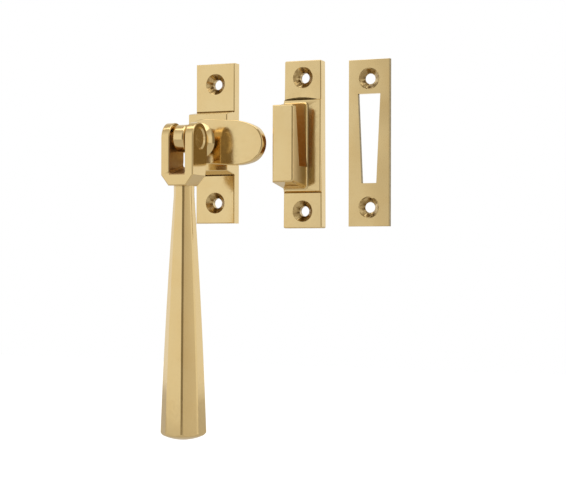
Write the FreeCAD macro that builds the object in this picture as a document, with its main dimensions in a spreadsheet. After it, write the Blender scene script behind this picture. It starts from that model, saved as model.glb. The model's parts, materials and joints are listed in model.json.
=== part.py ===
import FreeCAD, Part
import math
import os

import Sketcher

# Casement window fastener with its two keeps: a plate for the opening sash with a turning tongue
# and a drop handle, and a hook plate and a mortice plate, either of which takes the tongue.
#
# Frame: X along the row of plates, Z up, and the plates' backs in the plane Y = 0 with their
# fronts towards -Y. The origin is on the spindle axis, at the back of the fastener's plate.
# A "depth" is a distance in front of the plates' backs, so it is -Y.
# Sketches on XZ_Plane have local axes (X, Z) and pad towards -Y; sketches on YZ_Plane have local
# axes (Y, Z) and pad towards X.

SIZES = {
    # screw holes, the same in all three plates
    "screw_hole_radius": 1.8,
    "screw_land": 1.8,                # straight part of the hole behind the 90 degree countersink
    "thin_screw_land": 0.1,           # the same in the mortice plate
    # marks left by filing and polishing
    "polished_edge": 0.4,             # radius on the castings' outer edges
    "file_groove_depth": 0.3,
    "file_groove_half": 0.2,          # half the groove's width where it meets the plate's front
    # fastener's plate
    "plate_width": 15.2,
    "plate_height": 57.0,
    "pad_depth": 3.7,                 # front of the two screw pads
    "block_depth": 9.8,               # front of the raised block between them
    "block_foot_height": 22.6,
    "block_front_height": 20.2,
    "block_groove_gap": 0.1,          # block's foot to the middle of the groove beside it
    "plate_screw_spacing": 42.4,
    # spindle and the washers behind it
    "spindle_radius": 3.0,
    "spindle_cover": 1.6,             # metal between the spindle's end and the blade's front
    "running_clearance": 0.05,
    "counterbore_radius": 5.8,
    "counterbore_depth": 2.4,
    "washer_radius": 5.3,
    "thrust_washer_thick": 0.5,
    "thrust_washer_play": 0.1,        # between the washer's bore and the spindle
    "spring_washer_thick": 0.4,
    "spring_washer_dish": 0.36,
    "spring_washer_play": 0.2,
    "spring_washer_lift": 0.02,       # its rim stands this far off the counterbore's floor
    "spring_washer_room": 0.8,        # counterbore's floor to the rivet washer
    "rivet_washer_thick": 0.6,
    "rivet_radius": 2.2,              # spindle's tail, under its peened head
    "rivet_head_radius": 3.5,
    "rivet_head_flat": 2.1,           # radius of the flat on the peened head
    "rivet_head_rim": 0.3,
    "rivet_head_rise": 0.8,
    # tongue
    "blade_back": 13.9,
    "blade_thick": 3.2,
    "blade_root_x": 1.8,
    "blade_half": 7.8,                # half the blade's width, and its root's radius
    "blade_side_radius": 20.0,
    "blade_tip_radius": 6.9,
    "blade_reach": 24.6,              # spindle axis to the tip
    "blade_droop": 3.9,               # degrees below square to the handle
    "blade_edge_radius": 0.5,
    "collar_radius": 6.6,
    "boss_radius": 6.4,               # turned boss in front of the blade
    "boss_end_radius": 4.3,
    "boss_hollow": 0.5,               # how far its side curves in from straight
    "boss_depth": 20.6,
    "knuckle_radius": 4.8,
    "knuckle_width": 4.6,
    "knuckle_edge_radius": 0.9,
    # hinge between tongue and handle
    "pin_depth": 27.7,
    "pin_radius": 2.5,
    "pin_seat_radius": 3.9,           # countersinks in the fork's sides
    "pin_sink": 0.5,                  # fork's side to the rim of the pin's end
    "pin_rim": 0.5,
    "pin_dish": 0.35,
    # handle
    "fork_width": 12.2,
    "fork_top_radius": 5.5,
    "fork_slot": 6.0,
    "fork_slot_front": 12.5,          # pin axis down to the slot's floor, in front of the fork
    "fork_slot_back": 9.0,            # the same behind the fork
    "slot_corner_radius": 0.8,
    "slot_rim_radius": 0.3,
    "fork_shoulder": 12.6,            # pin axis down to the start of the 45 degree corners
    "fork_back_drop": 6.7,            # pin axis down to where the fork's back slopes in
    "fork_foot": 16.2,                # pin axis down to the neck
    "neck_length": 3.2,
    "neck_half": 3.35,                # half the width across the octagon's flats, at the neck
    "grip_half": 7.4,                 # the same at the end
    "grip_swell": 0.34,               # how far the flats bow out from straight
    "grip_edge_radius": 1.2,
    "grip_end": 102.8,                # pin axis down to the end of the grip
    "grip_dome_radius": 6.9,
    "grip_dome_height": 1.5,
    "grip_bevel_height": 1.7,         # rounded bevel above the dome
    "grip_bevel_width": 1.3,
    "grip_bevel_bow": 0.15,
    # hook plate, whose own origin is the middle of its back
    "hook_x": 33.8,
    "keep_drop": 1.15,                # both keeps are centred this far below the spindle
    "hook_plate_height": 58.4,
    "hook_plate_top_width": 13.7,
    "hook_plate_foot_width": 14.5,
    "hook_plate_corner": 0.6,
    "hook_pad_depth": 3.6,
    "hook_floor_depth": 4.2,
    "hook_floor_width": 14.0,
    "hook_floor_top": 15.3,
    "hook_floor_foot": 16.4,
    "hook_floor_slope": 0.3,
    "hook_depth": 14.4,
    "hook_foot_left": 6.95,
    "hook_foot_right": 1.9,
    "hook_foot_low": 15.4,
    "hook_foot_high": 14.3,
    "hook_face_left": 6.85,
    "hook_face_right": 0.95,
    "hook_face_low": 13.5,
    "hook_face_high": 12.9,
    "hook_corner_radius": 1.0,
    "hook_face_edge_radius": 0.6,
    "hook_cove_radius": 0.8,
    "hook_slot_low": 7.9,
    "hook_slot_low_back": 4.4,        # depths of the slot's two walls, at its closed end
    "hook_slot_low_front": 9.8,
    "hook_slot_high": 17.0,
    "hook_slot_high_back": 6.5,       # the same at its open end
    "hook_slot_high_front": 12.9,
    "lens_top": 16.5,                 # highest point of the dished cut above the raised floor
    "lens_middle": 1.0,               # it is centred this far left of the plate's middle
    "lens_radius": 26.0,
    "lens_depth": 0.6,
    "lens_run": 1.0,                  # height over which the cut sinks to its full depth
    "lens_band": 3.0,                 # width of the ring cut, mostly under the raised floor
    "hook_groove_gap": 0.4,           # raised floor's foot to the middle of the groove below it
    "hook_screw_spacing": 46.5,
    # mortice plate
    "mortice_x": 57.6,
    "mortice_width": 14.9,
    "mortice_height": 57.3,
    "mortice_thick": 1.65,
    "mortice_slot_low": 13.8,
    "mortice_slot_low_half": 2.7,
    "mortice_slot_high": 16.9,
    "mortice_slot_high_half": 4.1,
    "mortice_screw_spacing": 44.2,
}

RUN_OUT = 1.0                         # how far a cutting outline starts outside the metal
OVERLAP = 0.5                         # how far one lump of a casting starts inside the next
MARGIN = 0.1                          # keeps an edge test clear of the neighbouring edges


class Length:
    """A number together with the spreadsheet formula that gives it."""

    def __init__(self, value, formula):
        self.value = float(value)
        self.formula = formula

    def joined(self, sign, other, value):
        return Length(value, f"({self.formula} {sign} {length(other).formula})")

    def __add__(self, other):
        return self.joined("+", other, self.value + length(other).value)

    def __sub__(self, other):
        return self.joined("-", other, self.value - length(other).value)

    def __mul__(self, other):
        return self.joined("*", other, self.value * length(other).value)

    def __truediv__(self, other):
        return self.joined("/", other, self.value / length(other).value)

    def __neg__(self):
        return Length(-self.value, f"(-1 * {self.formula})")

    def __rsub__(self, other):
        return length(other) - self

    __radd__ = __add__
    __rmul__ = __mul__


def length(number):
    """The number as a Length; a plain number is its own formula."""
    if isinstance(number, Length):
        return number
    return Length(number, f"({number})")


def square_root(number):
    return Length(math.sqrt(number.value), f"sqrt({number.formula})")


doc = FreeCAD.newDocument("casement_window_fastener")
sheet = doc.addObject("Spreadsheet::Sheet", "Sizes")
for row, (alias, number) in enumerate(SIZES.items(), start=1):
    sheet.set(f"A{row}", alias)
    sheet.set(f"B{row}", str(number))
    sheet.setAlias(f"B{row}", alias)
doc.recompute()


def size(alias):
    return Length(SIZES[alias], f"Sizes.{alias}")


# ---------------------------------------------------------------- sketches

def origin_feature(body, role):
    return next(item for item in body.Origin.OriginFeatures if item.Role == role)


def new_body(name):
    body = doc.addObject("PartDesign::Body", name)
    body.Label = name
    return body


def new_sketch(body, name, plane, ahead=None, up=None):
    """A sketch on one of the body's own planes, moved along its normal or along its second axis."""
    sketch = body.newObject("Sketcher::SketchObject", name)
    sketch.AttachmentSupport = [(origin_feature(body, plane), "")]
    sketch.MapMode = "FlatFace"
    if ahead is not None:
        sketch.setExpression("AttachmentOffset.Base.z", length(ahead).formula)
    if up is not None:
        sketch.setExpression("AttachmentOffset.Base.y", length(up).formula)
    return sketch


def bind(sketch, constraint, name, number):
    """Add a named dimension and tie it to the spreadsheet."""
    index = sketch.addConstraint(constraint)
    sketch.renameConstraint(index, name)
    sketch.setExpression(f"Constraints.{name}", number.formula)


def bind_point(sketch, geometry, end, point, name):
    for axis, number in zip("XY", point):
        dimension = Sketcher.Constraint(f"Distance{axis}", -1, 1, geometry, end, number.value)
        bind(sketch, dimension, f"{name}_{axis.lower()}", number)


def bulge_centre(start, end, rise):
    """Centre of the arc that stands off its chord by rise, to the right of travel."""
    across = end[0] - start[0]
    along = end[1] - start[1]
    chord = square_root(across * across + along * along)
    offset = (rise * rise - chord * chord / 4) / (2 * rise * chord)
    middle = ((start[0] + end[0]) / 2, (start[1] + end[1]) / 2)
    return middle[0] + along * offset, middle[1] - across * offset


def arc_about(centre, start, finish):
    """The arc from start to finish, anticlockwise about centre."""
    first, last = (math.atan2(point.y - centre.y, point.x - centre.x) for point in (start, finish))
    circle = Part.Circle(centre, FreeCAD.Vector(0, 0, 1), centre.distanceToPoint(start))
    return Part.ArcOfCircle(circle, first, last if last > first else last + 2 * math.pi)


def draw_outline(sketch, corners, rises=None, name="corner"):
    """A closed outline. rises gives, by side number, how far a side bulges to the right of travel."""
    rises = rises or {}
    corners = [(length(across), length(along)) for across, along in corners]
    points = [FreeCAD.Vector(across.value, along.value, 0) for across, along in corners]
    ends = []
    centres = {}
    for number, start in enumerate(points):
        following = (number + 1) % len(points)
        finish = points[following]
        if number not in rises:
            ends.append((sketch.addGeometry(Part.LineSegment(start, finish)), 1, 2))
            continue
        rise = length(rises[number])
        centres[number] = bulge_centre(corners[number], corners[following], rise)
        centre = FreeCAD.Vector(centres[number][0].value, centres[number][1].value, 0)
        if rise.value > 0:
            ends.append((sketch.addGeometry(arc_about(centre, start, finish)), 1, 2))
        else:
            ends.append((sketch.addGeometry(arc_about(centre, finish, start)), 2, 1))
    for number, (geometry, first, last) in enumerate(ends):
        following, following_first, _ = ends[(number + 1) % len(ends)]
        sketch.addConstraint(
            Sketcher.Constraint("Coincident", geometry, last, following, following_first))
        bind_point(sketch, geometry, first, corners[number], f"{name}{number}")
    for number, centre in centres.items():
        side = points[(number + 1) % len(points)] - points[number]
        axis, place = ("X", centre[0]) if abs(side.y) > abs(side.x) else ("Y", centre[1])
        dimension = Sketcher.Constraint(f"Distance{axis}", -1, 1, ends[number][0], 3, place.value)
        bind(sketch, dimension, f"{name}{number}_centre", place)


def draw_circle(sketch, centre, radius, name="circle"):
    centre = (length(centre[0]), length(centre[1]))
    radius = length(radius)
    middle = FreeCAD.Vector(centre[0].value, centre[1].value, 0)
    geometry = sketch.addGeometry(Part.Circle(middle, FreeCAD.Vector(0, 0, 1), radius.value))
    bind_point(sketch, geometry, 3, centre, name)
    bind(sketch, Sketcher.Constraint("Radius", geometry, radius.value), f"{name}_radius", radius)


# ---------------------------------------------------------------- features

def add_feature(body, kind, name, sketch):
    feature = body.newObject(f"PartDesign::{kind}", name)
    feature.Profile = sketch
    return feature


def pad(body, name, sketch, thickness, centred=False):
    feature = add_feature(body, "Pad", name, sketch)
    feature.setExpression("Length", length(thickness).formula)
    feature.SideType = "Symmetric" if centred else "One side"
    doc.recompute()
    return feature


def cut_both_ways(body, name, sketch):
    """Cut the sketch's outline through everything on both sides of its plane."""
    before = body.Shape.Volume
    feature = add_feature(body, "Pocket", name, sketch)
    feature.Type = "ThroughAll"
    feature.SideType = "Symmetric"
    doc.recompute()
    assert body.Shape.Volume < before, name
    return feature


def cut_round(body, name, sketch, axis):
    """Cut the sketch's outline turned once about one of the sketch's own axes."""
    before = body.Shape.Volume
    feature = add_feature(body, "Groove", name, sketch)
    feature.ReferenceAxis = (sketch, [axis])
    feature.Angle = 360
    doc.recompute()
    assert body.Shape.Volume < before, name
    return feature


def turned(name, corners, rises=None):
    """A body turned about the Y axis from corners given as (depth, radius)."""
    body = new_body(name)
    sketch = new_sketch(body, f"{name}_profile", "YZ_Plane")
    draw_outline(sketch, [(-length(depth), radius) for depth, radius in corners], rises)
    feature = add_feature(body, "Revolution", f"{name}_turned", sketch)
    feature.ReferenceAxis = (sketch, ["H_Axis"])
    feature.Angle = 360
    doc.recompute()
    return body


def mirror(body, name, feature, plane):
    before = body.Shape.Volume
    copy = body.newObject("PartDesign::Mirrored", name)
    copy.Originals = [feature]
    copy.MirrorPlane = (origin_feature(body, plane), [""])
    body.Tip = copy
    doc.recompute()
    assert body.Shape.Volume < before, name


def round_edges(body, name, radius, wanted):
    """Round the edges whose middle point passes the test."""
    shape = body.Tip.Shape
    chosen = []
    for number, edge in enumerate(shape.Edges, start=1):
        middle = edge.valueAt((edge.FirstParameter + edge.LastParameter) / 2)
        if wanted(middle, edge):
            chosen.append(f"Edge{number}")
    assert chosen, name
    base = body.Tip
    feature = body.newObject("PartDesign::Fillet", name)
    feature.Base = (base, chosen)
    feature.setExpression("Radius", radius.formula)
    body.Tip = feature
    doc.recompute()
    assert feature.isValid() and feature.Shape.isValid(), name


def near(first, second, tolerance=0.01):
    return abs(first - second) < tolerance


def add_screw_holes(body, spacing, front, land):
    """Two countersunk screw holes, above and below the middle of a plate."""
    radius = size("screw_hole_radius")
    sketch = new_sketch(body, "screw_hole_profile", "YZ_Plane", up=spacing / 2)
    draw_outline(sketch, [
        (RUN_OUT, 0),
        (RUN_OUT, radius),
        (-land, radius),
        (-(front + RUN_OUT), radius + front - land + RUN_OUT),
        (-(front + RUN_OUT), 0),
    ])
    hole = cut_round(body, "upper_screw_hole", sketch, "H_Axis")
    mirror(body, "lower_screw_hole", hole, "XY_Plane")


def file_groove(body, name, front, place):
    """A filed V groove right across a plate's front, at the height called place."""
    depth = size("file_groove_depth")
    clear_of_front = 0.8
    half_mouth = size("file_groove_half") * (depth + clear_of_front) / depth
    sketch = new_sketch(body, f"{name}_profile", "YZ_Plane", up=place)
    draw_outline(sketch, [
        (-(front - depth), 0),
        (-(front + clear_of_front), half_mouth),
        (-(front + clear_of_front), -half_mouth),
    ])
    cut_both_ways(body, name, sketch)


# ---------------------------------------------------------------- fastener's plate

def make_backplate():
    """Two screw pads with a raised block between them, bored for the spindle."""
    body = new_body("backplate")
    half = size("plate_height") / 2
    pad_depth = size("pad_depth")
    block = size("block_depth")
    foot = size("block_foot_height") / 2
    brow = size("block_front_height") / 2
    side = new_sketch(body, "side_profile", "YZ_Plane")
    draw_outline(side, [
        (0, -half),
        (0, half),
        (-pad_depth, half),
        (-pad_depth, foot),
        (-block, brow),
        (-block, -brow),
        (-pad_depth, -foot),
        (-pad_depth, -half),
    ])
    pad(body, "plate_with_block", side, size("plate_width"), centred=True)

    def front_edge(middle, edge):
        at_side = near(abs(middle.x), SIZES["plate_width"] / 2) and middle.y < -MARGIN
        at_end = near(abs(middle.z), half.value) and near(middle.y, -pad_depth.value)
        at_brow = near(middle.y, -block.value)
        return at_side and abs(middle.z) < half.value - MARGIN or at_end or at_brow

    round_edges(body, "polished_edges", size("polished_edge"), front_edge)
    add_screw_holes(body, size("plate_screw_spacing"), pad_depth, size("screw_land"))
    groove = foot + size("block_groove_gap")
    file_groove(body, "upper_groove", pad_depth, groove)
    file_groove(body, "lower_groove", pad_depth, -groove)
    bore = size("spindle_radius") + size("running_clearance")
    section = new_sketch(body, "spindle_bore_profile", "YZ_Plane")
    draw_outline(section, [
        (RUN_OUT, 0),
        (RUN_OUT, size("counterbore_radius")),
        (-size("counterbore_depth"), size("counterbore_radius")),
        (-size("counterbore_depth"), bore),
        (-(block + RUN_OUT), bore),
        (-(block + RUN_OUT), 0),
    ])
    cut_round(body, "spindle_bore", section, "H_Axis")
    return body


# ---------------------------------------------------------------- spindle and washers

def spindle_top():
    return size("blade_back") + size("blade_thick") - size("spindle_cover")


def make_spindle():
    """Round shank with a thinner tail, peened over the rivet washer."""
    shoulder = size("counterbore_depth") - size("spring_washer_room")
    head = shoulder - size("rivet_washer_thick")
    head_end = head - size("rivet_head_rise")
    return turned("spindle", [
        (spindle_top(), 0),
        (spindle_top(), size("spindle_radius")),
        (shoulder, size("spindle_radius")),
        (shoulder, size("rivet_radius")),
        (head, size("rivet_radius")),
        (head, size("rivet_head_radius")),
        (head - size("rivet_head_rim"), size("rivet_head_radius")),
        (head_end, size("rivet_head_flat")),
        (head_end, 0),
    ])


def make_thrust_washer():
    """Flat ring that the tongue's collar turns on."""
    front = size("block_depth") + size("thrust_washer_thick")
    inner = size("spindle_radius") + size("thrust_washer_play")
    return turned("thrust_washer", [
        (size("block_depth"), inner),
        (front, inner),
        (front, size("collar_radius")),
        (size("block_depth"), size("collar_radius")),
    ])


def make_spring_washer():
    """Dished ring that pulls the tongue's collar against the block."""
    floor = size("counterbore_depth") - size("spring_washer_lift")
    thick = size("spring_washer_thick")
    dish = size("spring_washer_dish")
    inner = size("spindle_radius") + size("spring_washer_play")
    outer = size("washer_radius")
    return turned("spring_washer", [
        (floor - thick - dish, inner),
        (floor - dish, inner),
        (floor, outer),
        (floor - thick, outer),
    ])


def make_rivet_washer():
    """Flat ring under the spindle's peened head."""
    front = size("counterbore_depth") - size("spring_washer_room")
    back = front - size("rivet_washer_thick")
    return turned("rivet_washer", [
        (back, size("rivet_radius")),
        (front, size("rivet_radius")),
        (front, size("washer_radius")),
        (back, size("washer_radius")),
    ])


# ---------------------------------------------------------------- tongue

def draw_blade(sketch):
    """Round root, straight sides, then sides that curve in and run smoothly into a round tip."""
    half = size("blade_half")
    side = size("blade_side_radius")
    tip = size("blade_tip_radius")
    root_x = size("blade_root_x")
    reach = size("blade_reach")
    rise = side - half
    centres_apart = side - tip
    advance = square_root(centres_apart * centres_apart - rise * rise)
    bend_x = reach - tip - advance
    meet_x = bend_x + advance * side / centres_apart
    meet_z = rise * side / centres_apart - rise
    chord_x = meet_x - bend_x
    chord_z = half - meet_z
    half_chord_squared = (chord_x * chord_x + chord_z * chord_z) / 4
    side_bulge = side - square_root(side * side - half_chord_squared)
    draw_outline(sketch, [
        (root_x, -half),
        (bend_x, -half),
        (meet_x, -meet_z),
        (meet_x, meet_z),
        (bend_x, half),
        (root_x, half),
    ], rises={1: side_bulge, 2: reach - meet_x, 3: side_bulge, 5: half})


def make_tongue():
    """Blade and collar on the spindle, with a lug in front that ends in the hinge knuckle."""
    body = new_body("tongue")
    blade_back = size("blade_back")
    blade_front = blade_back + size("blade_thick")
    blade = new_sketch(body, "blade_outline", "XZ_Plane", ahead=blade_back)
    blade.setExpression("AttachmentOffset.Rotation.Angle", "Sizes.blade_droop * 1 deg")
    blade.AttachmentOffset = FreeCAD.Placement(
        FreeCAD.Vector(0, 0, blade_back.value),
        FreeCAD.Rotation(FreeCAD.Vector(0, 0, -1), SIZES["blade_droop"]))
    draw_blade(blade)
    pad(body, "blade", blade, size("blade_thick"))

    def blade_edge(middle, edge):
        return near(middle.y, -blade_front.value)

    round_edges(body, "blade_front_edge", size("blade_edge_radius"), blade_edge)

    collar_back = size("block_depth") + size("thrust_washer_thick")
    collar = new_sketch(body, "collar_outline", "XZ_Plane", ahead=collar_back)
    draw_circle(collar, (0, 0), size("collar_radius"))
    pad(body, "collar", collar, blade_back - collar_back + OVERLAP)

    boss_end = size("boss_depth")
    boss = new_sketch(body, "boss_profile", "YZ_Plane")
    draw_outline(boss, [
        (-(blade_front - OVERLAP), 0),
        (-(blade_front - OVERLAP), size("boss_radius")),
        (-blade_front, size("boss_radius")),
        (-boss_end, size("boss_end_radius")),
        (-boss_end, 0),
    ], rises={2: -size("boss_hollow")})
    turned_boss = add_feature(body, "Revolution", "boss", boss)
    turned_boss.ReferenceAxis = (boss, ["H_Axis"])
    turned_boss.Angle = 360
    doc.recompute()

    knuckle = size("knuckle_radius")
    pin = size("pin_depth")
    lug = new_sketch(body, "lug_profile", "YZ_Plane")
    draw_outline(lug, [
        (-pin, knuckle),
        (-pin, -knuckle),
        (-(blade_front - OVERLAP), -knuckle),
        (-(blade_front - OVERLAP), knuckle),
    ], rises={0: knuckle})
    pad(body, "lug", lug, size("knuckle_width"), centred=True)

    def knuckle_edge(middle, edge):
        at_side = near(abs(middle.x), SIZES["knuckle_width"] / 2)
        return at_side and middle.y < -boss_end.value

    round_edges(body, "knuckle_edges", size("knuckle_edge_radius"), knuckle_edge)

    pin_bore = new_sketch(body, "pin_bore_outline", "YZ_Plane")
    draw_circle(pin_bore, (-pin, 0), size("pin_radius") + size("running_clearance"))
    cut_both_ways(body, "pin_bore", pin_bore)

    socket = new_sketch(body, "spindle_socket_profile", "YZ_Plane")
    draw_outline(socket, [
        (-(collar_back - RUN_OUT), 0),
        (-(collar_back - RUN_OUT), size("spindle_radius")),
        (-spindle_top(), size("spindle_radius")),
        (-spindle_top(), 0),
    ])
    cut_round(body, "spindle_socket", socket, "H_Axis")
    return body


# ---------------------------------------------------------------- handle

GRIP_SIDES = 8


def make_handle():
    """Fork and eight-sided grip in one casting, drawn with the hinge pin's axis as its X axis."""
    body = new_body("handle")
    body.setExpression("Placement.Base.y", (-size("pin_depth")).formula)
    top = size("fork_top_radius")
    foot = size("fork_foot")
    neck = size("neck_half")
    half_width = size("fork_width") / 2
    side = new_sketch(body, "fork_side_profile", "YZ_Plane")
    draw_outline(side, [
        (top, 0),
        (-top, 0),
        (-top, -foot),
        (neck, -foot),
        (top, -size("fork_back_drop")),
    ], rises={0: top})
    pad(body, "fork", side, size("fork_width"), centred=True)

    shoulder = size("fork_shoulder")
    corners = new_sketch(body, "fork_corner_cuts", "XZ_Plane")
    for name, hand in (("right", 1), ("left", -1)):
        draw_outline(corners, [
            (half_width * hand, -shoulder),
            (neck * hand, -foot),
            (half_width * hand, -foot),
        ], name=name)
    cut_both_ways(body, "fork_corners", corners)

    def outer_edge(middle, edge):
        at_side = near(abs(middle.x), half_width.value)
        on_corner = neck.value + MARGIN < abs(middle.x) < half_width.value - MARGIN
        at_foot = near(middle.z, -foot.value) and near(middle.y, -top.value)
        return at_side or at_foot or (on_corner and abs(middle.y) > neck.value + MARGIN)

    round_edges(body, "fork_edges", size("polished_edge"), outer_edge)

    slot_front = size("fork_slot_front")
    slot_back = size("fork_slot_back")
    slot = new_sketch(body, "fork_slot_profile", "YZ_Plane")
    draw_outline(slot, [
        (-(top + RUN_OUT), top + RUN_OUT),
        (-(top + RUN_OUT), -slot_front),
        (top + RUN_OUT, -slot_back),
        (top + RUN_OUT, top + RUN_OUT),
    ])
    cut = add_feature(body, "Pocket", "fork_slot", slot)
    cut.setExpression("Length", size("fork_slot").formula)
    cut.SideType = "Symmetric"
    doc.recompute()
    slot_half = size("fork_slot") / 2

    def slot_corner(middle, edge):
        at_floor = -slot_front.value < middle.z < -slot_back.value
        return near(abs(middle.x), slot_half.value) and at_floor and abs(middle.y) < neck.value

    round_edges(body, "slot_corners", size("slot_corner_radius"), slot_corner)

    def slot_rim(middle, edge):
        at_wall = near(abs(middle.x), slot_half.value)
        near_floor = -shoulder.value < middle.z < -slot_back.value
        at_floor = near_floor and abs(middle.x) < slot_half.value
        return near(middle.y, -top.value) and (at_wall or at_floor)

    round_edges(body, "slot_rim", size("slot_rim_radius"), slot_rim)

    mouth = size("pin_seat_radius")
    rivet = size("pin_radius")
    seat_end = half_width - mouth + rivet
    holes = new_sketch(body, "pin_hole_profile", "XZ_Plane")
    draw_outline(holes, [
        (-(half_width + RUN_OUT), 0),
        (half_width + RUN_OUT, 0),
        (half_width + RUN_OUT, mouth + RUN_OUT),
        (seat_end, rivet),
        (-seat_end, rivet),
        (-(half_width + RUN_OUT), mouth + RUN_OUT),
    ])
    cut_round(body, "pin_holes", holes, "H_Axis")

    end = size("grip_end")
    blank_ratio = 1.12                # more than the octagon's corners, 1.08 times its flats
    blank_radius = size("grip_half") * blank_ratio
    blank = new_sketch(body, "grip_blank_outline", "XY_Plane", ahead=-foot)
    draw_circle(blank, (0, 0), blank_radius)
    grip = pad(body, "grip_blank", blank, end - foot)
    grip.Reversed = True
    doc.recompute()

    outside = blank_radius + RUN_OUT
    neck_end = foot + size("neck_length")
    flats = new_sketch(body, "grip_flat_cuts", "XZ_Plane")
    for name, hand in (("right", 1), ("left", -1)):
        draw_outline(flats, [
            (neck * hand, -foot),
            (neck * hand, -neck_end),
            (size("grip_half") * hand, -end),
            (outside * hand, -end),
            (outside * hand, -foot),
        ], rises={1: -size("grip_swell") * hand}, name=name)
    first_pair = cut_both_ways(body, "first_grip_flats", flats)
    all_flats = body.newObject("PartDesign::PolarPattern", "grip_flats")
    all_flats.Originals = [first_pair]
    all_flats.Axis = (origin_feature(body, "Z_Axis"), [""])
    all_flats.Mode = "Spacing"
    all_flats.Offset = 360 / GRIP_SIDES
    all_flats.Occurrences = GRIP_SIDES // 2
    body.Tip = all_flats
    doc.recompute()

    def grip_edge(middle, edge):
        half_length = (end.value - foot.value) / 2
        from_axis = math.hypot(middle.x, middle.y)
        return edge.Length > half_length and from_axis > neck.value

    round_edges(body, "grip_edges", size("grip_edge_radius"), grip_edge)

    dome = new_sketch(body, "grip_end_profile", "XZ_Plane")
    dome_radius = size("grip_dome_radius")
    dome_height = size("grip_dome_height")
    bevel_top = end - dome_height - size("grip_bevel_height")
    chord_squared = dome_radius * dome_radius + dome_height * dome_height
    ball_radius = chord_squared / (2 * dome_height)
    bulge = ball_radius - square_root(ball_radius * ball_radius - chord_squared / 4)
    draw_outline(dome, [
        (0, -end),
        (0, -(end + RUN_OUT)),
        (outside, -(end + RUN_OUT)),
        (outside, -(bevel_top - RUN_OUT)),
        (dome_radius + size("grip_bevel_width"), -bevel_top),
        (dome_radius, -(end - dome_height)),
    ], rises={4: -size("grip_bevel_bow"), 5: -bulge})
    cut_round(body, "grip_end_dome", dome, "V_Axis")
    return body


def make_hinge_pin():
    """Rivet across the fork, its dished ends spread into the bottoms of the countersinks."""
    body = new_body("hinge_pin")
    body.setExpression("Placement.Base.y", (-size("pin_depth")).formula)
    end = size("fork_width") / 2 - size("pin_sink")
    head = size("pin_seat_radius") - size("pin_sink")
    rivet = size("pin_radius")
    rim = size("pin_rim")
    dish = size("pin_dish")
    section = new_sketch(body, "rivet_profile", "XZ_Plane")
    draw_outline(section, [
        (-(end - dish), 0),
        (end - dish, 0),
        (end, head - rim),
        (end, head),
        (end - head + rivet, rivet),
        (-(end - head + rivet), rivet),
        (-end, head),
        (-end, head - rim),
    ])
    feature = add_feature(body, "Revolution", "rivet", section)
    feature.ReferenceAxis = (section, ["H_Axis"])
    feature.Angle = 360
    doc.recompute()
    return body


# ---------------------------------------------------------------- keeps

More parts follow.
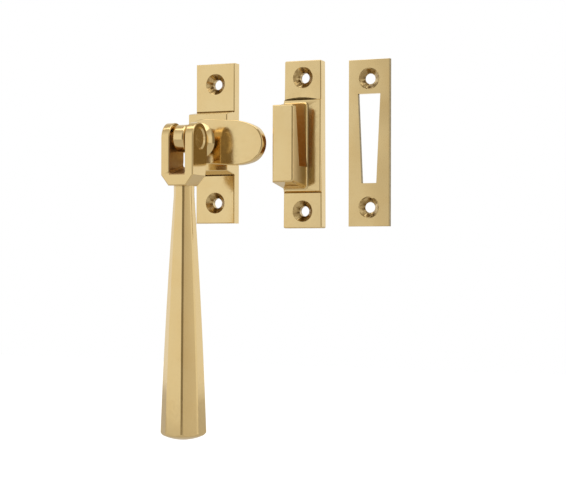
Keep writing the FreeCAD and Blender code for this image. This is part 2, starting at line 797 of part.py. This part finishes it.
def make_hook_plate():
    """Screw plate with a raised floor and a hook, cut by a tapered slot that is open at the top."""
    body = new_body("hook_plate")
    body.setExpression("Placement.Base.x", size("hook_x").formula)
    body.setExpression("Placement.Base.z", (-size("keep_drop")).formula)
    half = size("hook_plate_height") / 2
    top_half = size("hook_plate_top_width") / 2
    foot_half = size("hook_plate_foot_width") / 2
    pad_depth = size("hook_pad_depth")
    floor = size("hook_floor_depth")
    front = size("hook_depth")
    outline = new_sketch(body, "plate_outline", "XZ_Plane")
    draw_outline(outline, [
        (-foot_half, -half),
        (foot_half, -half),
        (top_half, half),
        (-top_half, half),
    ])
    pad(body, "plate", outline, pad_depth)

    def corner(middle, edge):
        at_end = near(abs(middle.z), half.value)
        return at_end and near(middle.y, -pad_depth.value / 2)

    round_edges(body, "plate_corners", size("hook_plate_corner"), corner)

    def plate_edge(middle, edge):
        return near(middle.y, -pad_depth.value)

    round_edges(body, "polished_edges", size("polished_edge"), plate_edge)

    lens_radius = size("lens_radius")
    lens_depth = size("lens_depth")
    lens_run = size("lens_run")
    lens_inside = lens_radius - size("lens_band")
    lens = new_sketch(body, "lens_profile", "YZ_Plane",
                      ahead=-size("lens_middle"), up=size("lens_top") - lens_radius)
    draw_outline(lens, [
        (-(pad_depth - lens_depth), lens_inside),
        (-(pad_depth - lens_depth), lens_radius - lens_run),
        (-(pad_depth + RUN_OUT), lens_radius + lens_run / lens_depth * RUN_OUT),
        (-(pad_depth + RUN_OUT), lens_inside),
    ])
    cut_round(body, "lens_cut", lens, "H_Axis")

    floor_top = size("hook_floor_top")
    floor_foot = size("hook_floor_foot")
    slope = size("hook_floor_slope")
    buried = pad_depth - 2 * OVERLAP
    raised = new_sketch(body, "floor_profile", "YZ_Plane")
    draw_outline(raised, [
        (-buried, -(floor_foot + slope)),
        (-buried, floor_top + slope),
        (-pad_depth, floor_top + slope),
        (-floor, floor_top),
        (-floor, -floor_foot),
        (-pad_depth, -(floor_foot + slope)),
    ])
    floor_width = size("hook_floor_width")
    pad(body, "raised_floor", raised, floor_width, centred=True)

    def floor_edge(middle, edge):
        return near(middle.y, -floor.value) and near(abs(middle.x), floor_width.value / 2)

    round_edges(body, "floor_edges", size("polished_edge"), floor_edge)
    add_screw_holes(body, size("hook_screw_spacing"), pad_depth, size("screw_land"))

    sections = []
    for name, depth in (("hook_foot", floor - OVERLAP), ("hook_face", front)):
        left, right, low, high = (size(f"{name}_{side}") for side in ("left", "right", "low", "high"))
        section = new_sketch(body, f"{name}_outline", "XZ_Plane", ahead=depth)
        draw_outline(section, [(-left, -low), (right, -low), (right, high), (-left, high)])
        sections.append(section)
    hook = add_feature(body, "AdditiveLoft", "hook_block", sections[0])
    hook.Sections = [sections[1]]
    hook.Ruled = True
    doc.recompute()

    def corner_edge(middle, edge):
        return near(middle.y, -(floor.value + front.value) / 2)

    round_edges(body, "hook_corners", size("hook_corner_radius"), corner_edge)

    def face_edge(middle, edge):
        return near(middle.y, -front.value)

    round_edges(body, "hook_face_edges", size("hook_face_edge_radius"), face_edge)

    def foot_edge(middle, edge):
        beside = -SIZES["hook_foot_left"] + OVERLAP < middle.x < SIZES["hook_foot_right"] + OVERLAP
        level = -SIZES["hook_foot_low"] - OVERLAP < middle.z < SIZES["hook_foot_high"] + OVERLAP
        return near(middle.y, -floor.value) and beside and level

    round_edges(body, "hook_cove", size("hook_cove_radius"), foot_edge)

    slot = new_sketch(body, "slot_profile", "YZ_Plane")
    draw_outline(slot, [
        (-size("hook_slot_low_back"), -size("hook_slot_low")),
        (-size("hook_slot_low_front"), -size("hook_slot_low")),
        (-size("hook_slot_high_front"), size("hook_slot_high")),
        (-size("hook_slot_high_back"), size("hook_slot_high")),
    ])
    cut_both_ways(body, "tapered_slot", slot)
    file_groove(body, "lower_groove", pad_depth, -(floor_foot + size("hook_groove_gap")))
    return body


def make_mortice_plate():
    """Thin screw plate with a tapered slot right through it."""
    body = new_body("mortice_plate")
    body.setExpression("Placement.Base.x", size("mortice_x").formula)
    body.setExpression("Placement.Base.z", (-size("keep_drop")).formula)
    half_width = size("mortice_width") / 2
    half = size("mortice_height") / 2
    outline = new_sketch(body, "plate_outline", "XZ_Plane")
    draw_outline(outline, [
        (-half_width, -half),
        (half_width, -half),
        (half_width, half),
        (-half_width, half),
    ])
    low = size("mortice_slot_low")
    high = size("mortice_slot_high")
    low_half = size("mortice_slot_low_half")
    high_half = size("mortice_slot_high_half")
    draw_outline(outline, [
        (-low_half, -low),
        (low_half, -low),
        (high_half, high),
        (-high_half, high),
    ], name="slot")
    pad(body, "plate_with_slot", outline, size("mortice_thick"))

    def outer_front_edge(middle, edge):
        at_side = near(abs(middle.x), half_width.value)
        at_end = near(abs(middle.z), half.value)
        return near(middle.y, -SIZES["mortice_thick"]) and (at_side or at_end)

    round_edges(body, "polished_edges", size("polished_edge") / 2, outer_front_edge)
    add_screw_holes(
        body, size("mortice_screw_spacing"), size("mortice_thick"), size("thin_screw_land"))
    return body


PARTS = [
    make_backplate(),
    make_spindle(),
    make_thrust_washer(),
    make_spring_washer(),
    make_rivet_washer(),
    make_tongue(),
    make_handle(),
    make_hinge_pin(),
    make_hook_plate(),
    make_mortice_plate(),
]

doc.recompute()
for item in doc.Objects:
    faults = {"Invalid", "Error"} & set(item.State)
    assert not faults, f"{item.Label}: {item.State}"
os.makedirs("parts", exist_ok=True)
for body in PARTS:
    shape = body.Shape
    assert not shape.isNull() and shape.isValid(), body.Label
    assert len(shape.Solids) == 1, f"{body.Label} has {len(shape.Solids)} solids"
    shape.exportStep(f"parts/{body.Label}.step")
    box = shape.BoundBox
    print(f"{body.Label:16s} {shape.Volume:9.1f} mm3  X {box.XMin:7.2f} {box.XMax:7.2f}  "
          f"Y {box.YMin:7.2f} {box.YMax:7.2f}  Z {box.ZMin:8.2f} {box.ZMax:7.2f}")
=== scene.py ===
import json
import math

import bpy
from mathutils import Euler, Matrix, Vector


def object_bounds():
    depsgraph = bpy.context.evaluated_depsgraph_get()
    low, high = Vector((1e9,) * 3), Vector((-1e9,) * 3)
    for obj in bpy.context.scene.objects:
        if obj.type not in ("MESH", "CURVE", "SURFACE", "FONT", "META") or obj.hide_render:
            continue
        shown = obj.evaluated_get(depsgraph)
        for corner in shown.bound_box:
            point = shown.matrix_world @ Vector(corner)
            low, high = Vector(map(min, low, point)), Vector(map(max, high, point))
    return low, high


# Casement window fastener in polished cast brass, with its hook plate and mortice plate.
# The objects are in metres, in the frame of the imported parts: Z up, plates' fronts towards -Y.
# The materials' patterns and masks are in millimetres.

MM_PER_METRE = 1000
MM = 1 / MM_PER_METRE

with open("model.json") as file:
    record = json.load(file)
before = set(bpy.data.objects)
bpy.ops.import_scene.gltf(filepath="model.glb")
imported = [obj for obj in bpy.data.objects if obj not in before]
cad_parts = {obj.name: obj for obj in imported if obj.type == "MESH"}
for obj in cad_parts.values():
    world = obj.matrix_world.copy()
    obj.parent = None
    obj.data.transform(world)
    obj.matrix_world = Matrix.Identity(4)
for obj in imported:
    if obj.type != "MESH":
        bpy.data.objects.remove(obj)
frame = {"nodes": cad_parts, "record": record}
cad_low, cad_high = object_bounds()
nodes = frame["nodes"]
mounts = {mount["name"]: mount for mount in frame["record"]["mounts"]}

# ---------------------------------------------------------------- camera

CAMERA_PLACE = (0.2315, -0.4734, -0.0398)
CAMERA_YAW = 23.58
CAMERA_PITCH = 0.21
CAMERA_ROLL = 0.15
CAMERA_LENS = 93.19
CAMERA_SENSOR = 36
NEAREST_SEEN = 0.01


def make_camera():
    data = bpy.data.cameras.new("camera")
    data.lens = CAMERA_LENS
    data.sensor_width = CAMERA_SENSOR
    data.clip_start = NEAREST_SEEN
    camera = bpy.data.objects.new("camera", data)
    camera.location = CAMERA_PLACE
    level = Euler((math.radians(90 + CAMERA_PITCH), 0, math.radians(CAMERA_YAW))).to_matrix()
    roll = Euler((0, 0, math.radians(CAMERA_ROLL))).to_matrix()
    camera.rotation_euler = (level @ roll).to_euler()
    bpy.context.scene.collection.objects.link(camera)
    bpy.context.scene.camera = camera


# ---------------------------------------------------------------- node helpers

class Tree:
    """Adds shader nodes to one material or world, and joins them."""

    def __init__(self, owner):
        owner.use_nodes = True
        self.tree = owner.node_tree
        self.tree.nodes.clear()

    def add(self, kind, settings=None, **inputs):
        node = self.tree.nodes.new(f"ShaderNode{kind}")
        for name, value in (settings or {}).items():
            setattr(node, name, value)
        for name, value in inputs.items():
            self.put(node, name.replace("_", " "), value)
        return node

    def put(self, node, name, value):
        """Set or link an input, found by its name or by its number."""
        socket = node.inputs[int(name) if name.isdigit() else name]
        if isinstance(value, bpy.types.NodeSocket):
            self.tree.links.new(value, socket)
        else:
            socket.default_value = value

    def math(self, operation, first, second=0.0, third=0.0):
        node = self.add("Math", {"operation": operation})
        for number, value in enumerate((first, second, third)):
            self.put(node, str(number), value)
        return node.outputs[0]

    def ramp(self, value, low, high, start=0.0, end=1.0):
        """value from low to high becomes start to end, with soft ends."""
        node = self.add("MapRange", {"interpolation_type": "SMOOTHSTEP"})
        for number, number_or_socket in enumerate((value, low, high, start, end)):
            self.put(node, str(number), number_or_socket)
        return node.outputs[0]

    def mix(self, factor, first, second):
        node = self.add("Mix", {"data_type": "RGBA"})
        self.put(node, "0", factor)
        self.put(node, "6", first)
        self.put(node, "7", second)
        return node.outputs[2]

    def within(self, value, low, high, soft=0.04):
        """1 where value lies between low and high, which may be sockets, else 0."""
        above = self.math("DIVIDE", self.math("SUBTRACT", value, low), soft)
        below = self.math("DIVIDE", self.math("SUBTRACT", high, value), soft)
        return self.clipped(self.math("MINIMUM", above, below))

    def clipped(self, value):
        return self.math("MINIMUM", self.math("MAXIMUM", value, 0.0), 1.0)

    def both(self, first, *others):
        for other in others:
            first = self.math("MULTIPLY", first, other)
        return first

    def noise(self, coordinates, scale, detail=2.0, roughness=0.5):
        node = self.add("TexNoise", Vector=coordinates, Scale=scale, Detail=detail,
                        Roughness=roughness)
        return node.outputs["Fac"]

    def scaled(self, coordinates, scale):
        node = self.add("VectorMath", {"operation": "MULTIPLY"})
        self.put(node, "0", coordinates)
        self.put(node, "1", scale)
        return node.outputs[0]

    def bump(self, height, distance, normal=None):
        node = self.add("Bump", Height=height, Distance=distance)
        if normal is not None:
            self.put(node, "Normal", normal)
        return node.outputs[0]


def colour(red, green, blue):
    return (red, green, blue, 1.0)


class Place:
    """Where a point of the surface lies on the part, in millimetres, and which way it faces."""

    def __init__(self, tree):
        self.tree = tree
        coordinates = tree.add("TexCoord")
        self.in_mm = tree.scaled(coordinates.outputs["Object"], (MM_PER_METRE,) * 3)
        axes = tree.add("SeparateXYZ", Vector=self.in_mm)
        self.x, self.y, self.z = (axes.outputs[axis] for axis in "XYZ")
        facing = tree.add("SeparateXYZ", Vector=coordinates.outputs["Normal"])
        self.sideways = tree.math("ABSOLUTE", facing.outputs["X"])

    def from_hole(self, middle, spacing):
        """Distance from the nearer of two holes' axes, spacing apart in Z, and angle round it."""
        tree = self.tree
        across = tree.math("SUBTRACT", self.x, middle[0])
        above = tree.math("ABSOLUTE", tree.math("SUBTRACT", self.z, middle[1]))
        along = tree.math("SUBTRACT", above, spacing / 2)
        distance = tree.math("SQRT", tree.math("ADD", tree.math("MULTIPLY", across, across),
                                               tree.math("MULTIPLY", along, along)))
        return distance, tree.math("ARCTAN2", across, along)


# ---------------------------------------------------------------- brass

BRASS = colour(0.82, 0.635, 0.325)
BRASS_WARM = colour(0.78, 0.56, 0.25)
HANDLE_BRASS = colour(0.795, 0.605, 0.30)
BRASS_UNPOLISHED = colour(0.51, 0.31, 0.14)
# Orange brown inside the hook's slot: the as-cast tone, together with painted shade for the dim light
# bouncing between its walls.
BRASS_AS_CAST_AND_SHADE = colour(0.60, 0.33, 0.08)
# Near-black olive: tarnish together with painted shade, used on the dished cut, the hook's foot and
# the mortice's walls.
BRASS_TARNISH_AND_SHADE = colour(0.15, 0.115, 0.05)
BRASS_DRILLED = colour(0.40, 0.27, 0.11)
# Dark brown for crevices: polish paste left in them, together with painted shade where corners fall
# dark.
RESIDUE_AND_SHADE = colour(0.16, 0.085, 0.03)
SPRING_BRONZE = colour(0.66, 0.38, 0.18)
SPRING_BRONZE_DARK = colour(0.5, 0.26, 0.12)

# Each noise's scale, then its detail and its roughness: the first is finer where it is larger.
BLOTCHES = (0.11, 3)
CLOUD = (0.9, 4, 0.6)
SCRATCHES = (0.35, 3, 0.65)
SWIRL = (14, 2, 0.6)
UNDULATION = (0.055, 1)
COUNTERSINK_PATCHES = (0.55, 1)

# Ramps: a value from the first to the second number becomes the third to the fourth, or 0 to 1.
CREVICE = (0.78, 0.35)
DIRT_AND_SHADE_BY_CLOUD = (0.25, 0.65, 0.55, 1.0)
TINT_BY_BLOTCH = (0.35, 0.75, 0.0, 0.45)
STREAK_BY_SCRATCH = (0.35, 0.75, 0.0, 0.16)
DULL_BY_CLOUD = (0.3, 0.75)
SCUFF_BY_SCRATCH = (0.55, 0.8)
DRILLED_BY_PATCH = (0.42, 0.58, 0.3, 0.85)
RAW_AND_SHADE_BY_CLOUD = (0.25, 0.7, 0.75, 0.97)

# What each finish adds to the roughness.
CLEANEST = -0.02
DULLEST = 0.04
SCUFF_ROUGH = 0.06
DIRT_AND_SHADE_ROUGH = 0.3
SATIN_ROUGH = 0.22
DRILLED_ROUGH = 0.05
RAW_AND_SHADE_ROUGH = 0.34

CREVICE_REACH = 1.4
SWIRL_DEPTH = 0.0003
COUNTERSINK_EDGE = 3.72
UNDER_ANY_RADIUS = -1.0


def brass(name, base=BRASS, warm=BRASS_WARM, gloss=0.12, grain=(40, 40, 2.5), grain_depth=0.0006,
          waves=0.16, residue_and_shade=0.55, holes=None, raw_and_shaded_marks=None, satin=None):
    """Polished brass. grain is the scratches' fineness in X, Y and Z: they run along the coarse axis.

    The argument for marks gives, from a Place, pairs of how strongly a mark lies there and its
    colour: brass left as cast by the polishing, painted shade and painted dark reflections. satin
    gives how dull it is.
    """
    material = bpy.data.materials.new(name)
    tree = Tree(material)
    place = Place(tree)
    in_mm = place.in_mm

    blotches = tree.noise(in_mm, *BLOTCHES)
    cloud = tree.noise(in_mm, *CLOUD)
    scratches = tree.noise(tree.scaled(in_mm, grain), *SCRATCHES)
    swirl = tree.noise(in_mm, *SWIRL)
    undulation = tree.noise(in_mm, *UNDULATION)

    # Crevices found by ambient occlusion are darkened towards dark brown: partly polish paste, partly
    # painted shade.
    open_air = tree.add("AmbientOcclusion", {"samples": 8, "only_local": True},
                        Distance=CREVICE_REACH * MM)
    crevice = tree.ramp(open_air.outputs["AO"], *CREVICE)
    patchy = tree.ramp(cloud, *DIRT_AND_SHADE_BY_CLOUD)
    crevice_dirt_and_shade = tree.math("MULTIPLY", tree.math("MULTIPLY", crevice, patchy), residue_and_shade)

    toned = tree.mix(tree.ramp(blotches, *TINT_BY_BLOTCH), base, warm)
    toned = tree.mix(tree.ramp(scratches, *STREAK_BY_SCRATCH), toned, warm)
    stained_and_shaded = tree.mix(crevice_dirt_and_shade, toned, RESIDUE_AND_SHADE)

    dull = tree.ramp(cloud, *DULL_BY_CLOUD, gloss + CLEANEST, gloss + DULLEST)
    scuffed = tree.math("MULTIPLY_ADD", tree.ramp(scratches, *SCUFF_BY_SCRATCH), SCUFF_ROUGH, dull)
    rough = tree.math("MULTIPLY_ADD", crevice_dirt_and_shade, DIRT_AND_SHADE_ROUGH, scuffed)

    normal = tree.bump(undulation, waves * MM)
    normal = tree.bump(scratches, grain_depth * MM, normal)
    normal = tree.bump(swirl, SWIRL_DEPTH * MM, normal)

    if satin is not None:
        rough = tree.math("MULTIPLY_ADD", satin(place), SATIN_ROUGH, rough)
    if holes is not None:
        radius, angle = place.from_hole(*holes)
        in_countersink = tree.within(radius, UNDER_ANY_RADIUS, COUNTERSINK_EDGE)
        patches = tree.ramp(tree.noise(in_mm, *COUNTERSINK_PATCHES), *DRILLED_BY_PATCH)
        stained_and_shaded = tree.mix(tree.both(in_countersink, patches), stained_and_shaded, BRASS_DRILLED)
        rough = tree.math("MULTIPLY_ADD", in_countersink, DRILLED_ROUGH, rough)
        normal = turned_rings(tree, radius, in_countersink, normal)
        normal = chatter(tree, angle, in_countersink, normal)
    # Each mark, as cast or painted shade, is mottled over the colour and roughens the brass.
    if raw_and_shaded_marks is not None:
        for raw_and_shade_strength, raw_and_shade_colour in raw_and_shaded_marks(place):
            mottled = tree.both(raw_and_shade_strength, tree.ramp(cloud, *RAW_AND_SHADE_BY_CLOUD))
            stained_and_shaded = tree.mix(mottled, stained_and_shaded, raw_and_shade_colour)
            rough = tree.math("MULTIPLY_ADD", raw_and_shade_strength, RAW_AND_SHADE_ROUGH, rough)

    shader = tree.add("BsdfPrincipled", Base_Color=stained_and_shaded, Roughness=rough, Metallic=1.0,
                      Normal=normal)
    output = tree.add("OutputMaterial")
    tree.put(output, "Surface", shader.outputs[0])
    return material


def turned_rings(tree, radius, in_countersink, normal):
    """Fine rings left by the countersinking tool."""
    ring_pitch = 0.22
    ring_depth = 0.004
    wave = tree.math("SINE", tree.math("MULTIPLY", radius, 2 * math.pi / ring_pitch))
    return tree.bump(tree.both(wave, in_countersink), ring_depth * MM, normal)


def chatter(tree, angle, in_countersink, normal):
    """Broad facets round the cone, where the countersinking tool chattered."""
    facets_round = 5
    first_facet = 0.8
    facet_depth = 0.17
    wave = tree.math("SINE", tree.math("MULTIPLY_ADD", angle, facets_round, first_facet))
    return tree.bump(tree.both(wave, in_countersink), facet_depth * MM, normal)


def holes_of(name):
    """Middle (X, Z) and spacing of a plate's two screw holes, in millimetres."""
    mount = mounts[name]
    place = mount["pos_m"]
    return (place[0] / MM, place[2] / MM), mount["dims"]["spacing_y_mm"]


# ---------------------------------------------------------------- places that polishing misses, and painted shade

FORK_SLOT_HALF = 3.03
FORK_SLOT_FLOOR = -12.7
FORK_SLOT_TOP = 2.0
SOFT_EDGE = 0.3                       # width over which the broader marks fade out


def inside_fork(place):
    tree = place.tree
    slot = tree.both(tree.within(place.x, -FORK_SLOT_HALF, FORK_SLOT_HALF),
                     tree.within(place.z, FORK_SLOT_FLOOR, FORK_SLOT_TOP, SOFT_EDGE))
    return [(slot, BRASS_UNPOLISHED)]


# The hook plate's marks are measured from the middle of its screw holes.
HOOK_SLOT_FLOOR = -7.95
HOOK_SLOT_BACK = (4.35, 0.0843)       # depth at the slot's floor, and how fast it grows upwards
HOOK_SLOT_FRONT = (9.85, 0.1245)
HOOK_SIDE = (0.6, 2.1)                # the hook's slanting side, across the plate
PAST_HOOK_TOP = 100.0                 # further up than the slot reaches from its floor
PAST_HOOK_LEFT = -20.0                # further left than the hook reaches


# Mask of the hook's slot, coloured as cast and darkened with painted shade.
def inside_hook_slot(place):
    tree = place.tree
    (plate_x, plate_z), _ = holes_of("hook_plate_screws")
    height = tree.math("SUBTRACT", place.z, plate_z + HOOK_SLOT_FLOOR)
    depth = tree.math("MULTIPLY", place.y, -1.0)
    back, front = (tree.math("MULTIPLY_ADD", height, growth, start)
                   for start, growth in (HOOK_SLOT_BACK, HOOK_SLOT_FRONT))
    return tree.both(tree.within(depth, back, front),
                     tree.within(height, 0.0, PAST_HOOK_TOP),
                     tree.within(place.x, plate_x + PAST_HOOK_LEFT, plate_x + HOOK_SIDE[1]))


FLAT_FACES = (0.6, 0.3)               # how far a face turns sideways before it stops counting
# The dished cut above the raised floor is darkened: a painted dark reflection, partly tarnish.
LENS_HEIGHTS = (15.25, 16.7)
LENS_DEPTHS = (2.5, 3.56)
LENS_EDGE = 0.03
LENS_SHADE_STRENGTH = 0.95
# Painted shade along the hook's foot on the raised floor, partly polish paste left in the corner.
FOOT_SHADE = (2.4, 0.3)               # distance from the hook's foot: where the strip ends, is full
FOOT_SPAN = (-0.5, 9.0)
FOOT_HEIGHTS = (14.0, 11.0)           # above and below the middle: where the strip ends, is full
FOOT_SHADE_STRENGTH = 0.6


def hook_plate_hollows(place):
    """The hook's slot (as cast, with painted shade), the dished cut above the raised floor (a painted
    dark reflection) and a dull strip of painted shade at the hook's foot.
    """
    tree = place.tree
    (plate_x, plate_z), _ = holes_of("hook_plate_screws")
    low, high = (plate_z + height for height in LENS_HEIGHTS)
    depth = tree.math("MULTIPLY", place.y, -1.0)
    flat = tree.ramp(place.sideways, *FLAT_FACES)
    lens = tree.both(tree.within(place.z, low, high), tree.within(depth, *LENS_DEPTHS, LENS_EDGE),
                     flat)
    from_foot = tree.math("SUBTRACT", place.x, plate_x + HOOK_SIDE[1])
    half = tree.math("ABSOLUTE", tree.math("SUBTRACT", place.z, plate_z))
    strip = tree.both(tree.ramp(from_foot, *FOOT_SHADE), tree.within(from_foot, *FOOT_SPAN),
                      tree.ramp(half, *FOOT_HEIGHTS), flat)
    return [(inside_hook_slot(place), BRASS_AS_CAST_AND_SHADE),
            (tree.math("MULTIPLY", lens, LENS_SHADE_STRENGTH), BRASS_TARNISH_AND_SHADE),
            (tree.math("MULTIPLY", strip, FOOT_SHADE_STRENGTH), BRASS_TARNISH_AND_SHADE)]


SIDE_FACES = (0.5, 0.85)
UPRIGHT_WALLS = (0.8, 0.95, 0.0, 0.85)


def hook_side(place):
    tree = place.tree
    (plate_x, _), _ = holes_of("hook_plate_screws")
    return tree.both(tree.within(place.x, *(plate_x + edge for edge in HOOK_SIDE), SOFT_EDGE),
                     tree.ramp(place.sideways, *SIDE_FACES))


# Faces turned sideways on the mortice plate, its slot's walls and outer sides, are darkened: tarnish
# together with painted shade.
def mortice_walls(place):
    return [(place.tree.ramp(place.sideways, *UPRIGHT_WALLS), BRASS_TARNISH_AND_SHADE)]


# ---------------------------------------------------------------- the CAD pieces' finishes

FINE = 40
COARSE = 2.5
ALONG_X = (COARSE, FINE, FINE)
ALONG_Y = (FINE, COARSE, FINE)
EVERY_WAY = (FINE, FINE, FINE)
SHARP_EDGE = 32                       # degrees between two faces
SAME_POINT = 0.001 * MM


def finish_cad_nodes():
    looks = {
        "backplate": brass("backplate_brass", holes=holes_of("backplate_screws")),
        "hook_plate": brass("hook_plate_brass", grain=ALONG_X, holes=holes_of("hook_plate_screws"),
                            raw_and_shaded_marks=hook_plate_hollows, satin=hook_side),
        "mortice_plate": brass("mortice_plate_brass", holes=holes_of("mortice_plate_screws"),
                               raw_and_shaded_marks=mortice_walls),
        "tongue": brass("tongue_brass", grain=ALONG_X),
        "handle": brass("handle_brass", HANDLE_BRASS, waves=0.08, residue_and_shade=0.4,
                        raw_and_shaded_marks=inside_fork),
        "hinge_pin": brass("pin_brass", gloss=0.24, grain=EVERY_WAY, grain_depth=0.002),
        "spindle": brass("spindle_brass", gloss=0.22, grain=ALONG_Y),
        "thrust_washer": brass("thrust_washer_brass", gloss=0.22, grain=ALONG_Y),
        "rivet_washer": brass("rivet_washer_brass", gloss=0.25, grain=EVERY_WAY),
        "spring_washer": brass("spring_washer_bronze", SPRING_BRONZE, SPRING_BRONZE_DARK,
                               gloss=0.28, grain=EVERY_WAY),
    }
    shading = smooth_with_sharp_edges(math.radians(SHARP_EDGE))
    for name, material in looks.items():
        piece = nodes[name]
        piece.data.materials.clear()
        piece.data.materials.append(material)
        tidy = piece.modifiers.new("shading", "NODES")
        tidy.node_group = shading
        weighted = piece.modifiers.new("weighted_normals", "WEIGHTED_NORMAL")
        weighted.keep_sharp = True
        weighted.weight = 100


def smooth_with_sharp_edges(limit):
    """Geometry nodes that join the faces and shade them smooth, except across sharp edges."""
    group = bpy.data.node_groups.new("smooth_with_sharp_edges", "GeometryNodeTree")
    group.interface.new_socket("Geometry", in_out="INPUT", socket_type="NodeSocketGeometry")
    group.interface.new_socket("Geometry", in_out="OUTPUT", socket_type="NodeSocketGeometry")
    start = group.nodes.new("NodeGroupInput")
    joined = group.nodes.new("GeometryNodeMergeByDistance")
    joined.inputs["Distance"].default_value = SAME_POINT
    smooth = group.nodes.new("GeometryNodeSetShadeSmooth")
    angle = group.nodes.new("GeometryNodeInputMeshEdgeAngle")
    steep = group.nodes.new("FunctionNodeCompare")
    steep.inputs["B"].default_value = limit
    sharp = group.nodes.new("GeometryNodeSetShadeSmooth")
    sharp.domain = "EDGE"
    sharp.inputs["Shade Smooth"].default_value = False
    end = group.nodes.new("NodeGroupOutput")
    for source, target in (
            (start.outputs[0], joined.inputs["Geometry"]),
            (joined.outputs[0], smooth.inputs["Geometry"]),
            (smooth.outputs[0], sharp.inputs["Geometry"]),
            (angle.outputs["Unsigned Angle"], steep.inputs["A"]),
            (steep.outputs[0], sharp.inputs["Selection"]),
            (sharp.outputs[0], end.inputs[0])):
        group.links.new(source, target)
    return group


# ---------------------------------------------------------------- light and floor

WHITE = colour(1, 1, 1)
TENT_WHITE = colour(1.0, 0.99, 0.97)
TENT_WARM = colour(1.0, 0.88, 0.70)
TENT_BRIGHT = 0.92
TENT_OPENING = 0.25
OPENING_YAW = 22.6                    # where the opening's middle lies, right of -Y
OPENING_RISE = 4.0                    # and above level, both in degrees
OPENING_RIM = 48                      # degrees from the opening's middle to where the tent is white
OPENING_CORE = 31                     # the same, to where the opening is fully dark
DIM_BY_SLOPE = (0.35, 0.95, 1.0, 0.6)
WHITE_BY_BRIGHTNESS = (0.35, 0.85)


def make_world():
    """A white tent, dimmer above and below and round the dark opening, and a white backdrop."""
    world = bpy.data.worlds.new("tent")
    bpy.context.scene.world = world
    tree = Tree(world)
    direction = tree.add("TexCoord").outputs["Generated"]
    turn = Euler((-math.radians(OPENING_RISE), 0, math.radians(OPENING_YAW)))
    facing = tree.add("VectorMath", {"operation": "DOT_PRODUCT"})
    tree.put(facing, "0", direction)
    tree.put(facing, "1", turn.to_matrix() @ Vector((0, -1, 0)))
    rim, core = (math.cos(math.radians(angle)) for angle in (OPENING_RIM, OPENING_CORE))
    opening = tree.ramp(facing.outputs["Value"], rim, core, TENT_BRIGHT, TENT_OPENING)
    upward = tree.add("SeparateXYZ", Vector=direction).outputs["Z"]
    away_from_level = tree.ramp(tree.math("ABSOLUTE", upward), *DIM_BY_SLOPE)
    brightness = tree.both(opening, away_from_level)
    tint = tree.mix(tree.ramp(brightness, *WHITE_BY_BRIGHTNESS), TENT_WARM, TENT_WHITE)
    tent = tree.add("Background", Color=tint, Strength=brightness)
    backdrop = tree.add("Background", Color=WHITE, Strength=1.0)
    choice = tree.add("MixShader")
    tree.put(choice, "0", tree.add("LightPath").outputs["Is Camera Ray"])
    tree.put(choice, "1", tent.outputs[0])
    tree.put(choice, "2", backdrop.outputs[0])
    output = tree.add("OutputWorld")
    tree.put(output, "Surface", choice.outputs[0])


FLOOR_PAINT = colour(0.72, 0.71, 0.69)
FLOOR_GLOW = 0.6                      # seen by the camera alone
FLOOR_GAP = 0.05
FLOOR_REACH = 0.9


def make_floor():
    """A pale floor that looks white and throws little light back up."""
    height = cad_low.z - FLOOR_GAP
    mesh = bpy.data.meshes.new("floor")
    corners = [(-FLOOR_REACH, -FLOOR_REACH, height), (FLOOR_REACH, -FLOOR_REACH, height),
               (FLOOR_REACH, FLOOR_REACH, height), (-FLOOR_REACH, FLOOR_REACH, height)]
    mesh.from_pydata(corners, [], [(0, 1, 2, 3)])
    floor = bpy.data.objects.new("floor", mesh)
    bpy.context.scene.collection.objects.link(floor)
    material = bpy.data.materials.new("pale_floor")
    tree = Tree(material)
    seen = tree.add("LightPath").outputs["Is Camera Ray"]
    glow = tree.math("MULTIPLY", seen, FLOOR_GLOW)
    paint = tree.add("BsdfPrincipled", Base_Color=FLOOR_PAINT, Roughness=0.9,
                     Emission_Color=WHITE, Emission_Strength=glow)
    output = tree.add("OutputMaterial")
    tree.put(output, "Surface", paint.outputs[0])
    mesh.materials.append(material)


def make_light(name, place, target, size, power):
    data = bpy.data.lights.new(name, "AREA")
    data.shape = "RECTANGLE"
    data.size, data.size_y = size
    data.energy = power
    light = bpy.data.objects.new(name, data)
    light.location = place
    light.rotation_euler = (Vector(target) - Vector(place)).to_track_quat("-Z", "Y").to_euler()
    bpy.context.scene.collection.objects.link(light)


def make_lights():
    """A large softbox overhead, and a faint tall one whose reflection lies along the grip."""
    middle = (cad_low + cad_high) / 2
    upper_grip = (0, -0.03, -0.05)
    make_light("top_softbox", (0, -0.1, 0.8), middle, size=(0.8, 0.6), power=2)
    make_light("side_softbox", (0.53, -0.31, 0.0), upper_grip, size=(0.15, 0.5), power=0.025)


make_camera()
make_world()
make_floor()
make_lights()
finish_cad_nodes()
bpy.context.scene.view_settings.view_transform = "Standard"
